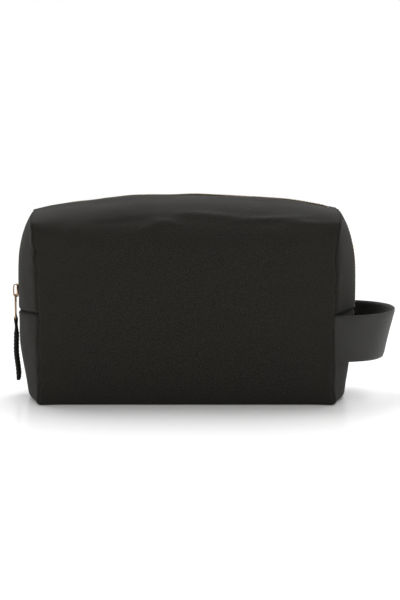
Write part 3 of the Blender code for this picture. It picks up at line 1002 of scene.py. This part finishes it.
def build_bridge():
    """A bow of rounded flat bar that stands on the slider."""
    low, high = map(Vector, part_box("slider_bridge"))
    half = (high.z - low.z) / 2
    reach = high.x - low.x + 0.0004
    wide = (high.y - low.y) / 2
    points = []
    for k in range(29):
        angle = PI * k / 28
        rise = squarer(math.cos(angle), 0.5)
        out = math.sin(angle) ** 0.5
        centre = Vector((high.x + 0.0003 - (reach - BAR / 2) * out, 0,
                         (low.z + high.z) / 2 + (half - BAR / 2) * rise))
        away = Vector((-out * half, 0, rise * reach)).normalized()
        column = []
        for m in range(12):
            turn = 2 * PI * m / 12
            y = squarer(math.cos(turn), 0.5) * wide
            h = squarer(math.sin(turn), 0.6) * BAR / 2
            column.append(centre + away * h + Vector((0, y, 0)))
        points.append(column)
    bridge = grid_mesh("slider_bow", points, lambda i, j: (i * 0.001, j * 0.001), HARDWARE, True)
    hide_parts("slider_bridge")
    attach(bridge, "slider")


BAR = 0.0011  # the bow's thickness


def rounded_copy(node, name, look, width):
    """The CAD node's own shape with its edges rounded."""
    mesh = bpy.data.objects[node].data.copy()
    mesh.transform(bpy.data.objects[node].matrix_world)
    mesh.materials.clear()
    mesh.materials.append(look)
    piece = add_object(name, mesh)
    bm = bmesh.new()
    bm.from_mesh(mesh)
    bmesh.ops.remove_doubles(bm, verts=bm.verts, dist=1e-6)
    bmesh.ops.dissolve_limit(bm, angle_limit=math.radians(2), verts=bm.verts, edges=bm.edges)
    bm.to_mesh(mesh)
    bm.free()
    softened(piece, width)
    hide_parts(node)
    return piece


build_slider()
build_bridge()
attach(rounded_copy("puller", "puller_plate", HARDWARE, 0.00022), "puller")
for word, _ in SIDES:
    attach(rounded_copy(f"zip_stop_{word}", f"end_stop_{word}", TEETH, 0.0003), "base")
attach(rounded_copy("bottom_board", "floor_board", BOARD, 0.0003), "base")


# -------------------- stitching

def add_stitch(bm, start, stop, normal):
    """One thread between two needle holes: it rises between them."""
    way = (stop - start).normalized()
    side = way.cross(normal).normalized()
    rings = []
    for share, size, rise in STITCH_PROFILE:
        centre = start.lerp(stop, share) + normal * (rise * THREAD_RADIUS)
        ways = (side * math.cos(PI * k / 3) + normal * math.sin(PI * k / 3) for k in range(6))
        rings.append([bm.verts.new(centre + way * THREAD_RADIUS * size) for way in ways])
    for ring, following in zip(rings, rings[1:]):
        for k in range(6):
            bm.faces.new((ring[k], ring[(k + 1) % 6], following[(k + 1) % 6], following[k]))
    bm.faces.new(rings[0])
    bm.faces.new(rings[-1])


THREAD_RADIUS = 0.00022
STITCH, STITCH_GAP = 0.0024, 0.0007

# place along the stitch, thickness, and height as a part of the thread's radius
STITCH_PROFILE = ((0.0, 0.35, -0.6), (0.18, 0.9, 0.35), (0.5, 1.0, 0.6), (0.82, 0.9, 0.35), (1.0, 0.35, -0.6))


def surface_of(*names):
    """A search tree over the shown surfaces of these pieces."""
    verts, polygons = [], []
    for name in names:
        mesh = bpy.data.objects[name].data
        first = len(verts)
        verts += [v.co.copy() for v in mesh.vertices]
        polygons += [[first + k for k in p.vertices] for p in mesh.polygons]
    return BVHTree.FromPolygons(verts, polygons)


def stitch_rows(name, rows, tree):
    """Stitches along each row of points, laid on the surface next to them."""
    bm = bmesh.new()
    for row in rows:
        points = [Vector(p) for p in row]
        runs = [0.0]
        for a, b in zip(points, points[1:]):
            runs.append(runs[-1] + (b - a).length)
        place = STITCH_GAP

        def at(run):
            return Vector([np.interp(run, runs, [p[k] for p in points]) for k in range(3)])

        while place + STITCH < runs[-1]:
            found = [tree.find_nearest(at(place)), tree.find_nearest(at(place + STITCH))]
            if all(hit[0] is not None for hit in found):
                normal = (found[0][1] + found[1][1]).normalized()
                add_stitch(bm, found[0][0], found[1][0], normal)
            place += STITCH + STITCH_GAP
    bmesh.ops.recalc_face_normals(bm, faces=bm.faces)
    made = new_object(name, bm, THREAD)
    made.data.shade_smooth()
    return made


def build_stitching():
    """Rows beside the zip, below the end seams and down the pull tab's edges."""
    for word, side in SIDES:
        tree = surface_of(f"outer_{word}_sheet", *(f"outer_{end}_end_{word}_half" for end, _ in ENDS))
        row = [centre + normal * 0.0025 + Vector((0, side * (ZIP_GAP + STITCH_INSET), 0))
               for centre, normal, _ in along_zip(0.004, SEAM_Z + 0.003)]
        stitches = stitch_rows(f"zip_stitching_{word}", [settled(np.array(row))], tree)
        bends_with(stitches)
    for word, end in ENDS:
        tree = surface_of(f"outer_{word}_end_low")
        z = SEAM_Z - STITCH_INSET
        row = [(end * (end_x(y, z, 0) + OUTSIDE), y, z)
               for y in np.linspace(-HALF_DEPTH + 0.004, HALF_DEPTH - 0.004, 40)]
        stitches = stitch_rows(f"end_stitching_{word}", [settled(np.array(row))], tree)
        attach(stitches, "base")
    low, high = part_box("pull_tab")
    tree = surface_of("fabric_tab")
    edge = (high[1] - low[1]) / 2 - TAB_STITCH_INSET
    heights = np.linspace(high[2] - 0.010, low[2] + 0.002, 20)
    rows = [[(x, y, z) for z in heights]
            for y in (-edge, edge) for x in (low[0] - OUTSIDE, high[0] + OUTSIDE)]
    stitches = stitch_rows("tab_stitching", rows, tree)
    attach(stitches, "pull_tab")


STITCH_INSET, TAB_STITCH_INSET = 0.0026, 0.0013  # from the fabric's edge to its stitches
OUTSIDE = 0.001  # rows start this far off the surface they are laid on

build_stitching()


# -------------------- stage, light and camera

STAGE_HALF = 5.0


def build_stage():
    """A white floor, a white backdrop for the camera, and a room that lights the bag from behind."""
    bm = bmesh.new()
    bmesh.ops.create_grid(bm, x_segments=1, y_segments=1, size=STAGE_HALF)
    floor = Shader("stage_white", 0.22, Specular_IOR_Level=0.12, Emission_Color=(1, 1, 1, 1),
                   Emission_Strength=0.07)
    floor.bsdf.inputs["Base Color"].default_value = (0.96, 0.96, 0.96, 1)
    stage = new_object("stage", bm, floor.material)
    world = bpy.data.worlds.new("studio")
    world.use_nodes = True
    tree = world.node_tree
    studio = tree.nodes["Background"]
    place = tree.nodes.new("ShaderNodeTexCoord")
    axes = tree.nodes.new("ShaderNodeSeparateXYZ")
    tree.links.new(place.outputs["Generated"], axes.inputs[0])
    room = tree.nodes.new("ShaderNodeValToRGB")
    for stop, (position, grey) in zip(room.color_ramp.elements,
                                      ((0.0, FRONT_OF_ROOM), (0.75, BACK_OF_ROOM))):
        stop.position, stop.color = position, (*grey, 1)
    shift = tree.nodes.new("ShaderNodeMath")
    shift.operation = "MULTIPLY_ADD"
    shift.inputs[1].default_value, shift.inputs[2].default_value = 0.5, 0.5
    tree.links.new(axes.outputs[1], shift.inputs[0])
    tree.links.new(shift.outputs[0], room.inputs[0])
    tree.links.new(room.outputs[0], studio.inputs["Color"])
    backdrop = tree.nodes.new("ShaderNodeBackground")
    backdrop.inputs["Color"].default_value = (1, 1, 1, 1)
    path = tree.nodes.new("ShaderNodeLightPath")
    mix = tree.nodes.new("ShaderNodeMixShader")
    tree.links.new(path.outputs["Is Camera Ray"], mix.inputs[0])
    tree.links.new(studio.outputs[0], mix.inputs[1])
    tree.links.new(backdrop.outputs[0], mix.inputs[2])
    tree.links.new(mix.outputs[0], tree.nodes["World Output"].inputs["Surface"])
    bpy.context.scene.world = world


FRONT_OF_ROOM = (0.060, 0.058, 0.053)
BACK_OF_ROOM = (0.60, 0.60, 0.60)


def softbox(name, place):
    """A tall rectangle of light that faces the bag."""
    light = bpy.data.lights.new(name, "AREA")
    light.shape = "RECTANGLE"
    light.size, light.size_y = SOFTBOX_SIZE
    light.energy = SOFTBOX_POWER
    lamp = add_object(name, light)
    lamp.location = place
    lamp.rotation_euler = (LIGHT_TARGET - Vector(place)).to_track_quat("-Z", "Y").to_euler()


def overhead_light():
    """A wide, even light from above, a little from behind."""
    light = bpy.data.lights.new("overhead", "SUN")
    light.energy = OVERHEAD_STRENGTH
    light.angle = OVERHEAD_SPREAD
    add_object("overhead", light).rotation_euler = (OVERHEAD_TILT, 0, 0)


LIGHT_TARGET = Vector((0, 0, 0.08))
SOFTBOX_SIZE, SOFTBOX_POWER = (0.9, 1.1), 8.4
OVERHEAD_STRENGTH, OVERHEAD_SPREAD, OVERHEAD_TILT = 3.2, math.radians(56), math.radians(-30)

CAMERA_PLACE = (0.0113, -1.26, 0.2037)
CAMERA_PITCH = math.radians(5.57)
FOCAL_LENGTH = 133.6  # on a 36 mm wide sensor


def build_camera():
    data = bpy.data.cameras.new("camera")
    data.sensor_fit = "HORIZONTAL"
    data.sensor_width = 36.0
    data.lens = FOCAL_LENGTH
    camera = add_object("camera", data)
    camera.location = CAMERA_PLACE
    camera.rotation_euler = (PI / 2 - CAMERA_PITCH, 0, 0)
    bpy.context.scene.camera = camera


build_stage()
softbox("left_softbox", (-1.25, -0.62, 0.30))
softbox("right_softbox", (1.25, -0.62, 0.30))
overhead_light()
build_camera()
bpy.context.scene.view_settings.view_transform = "Standard"
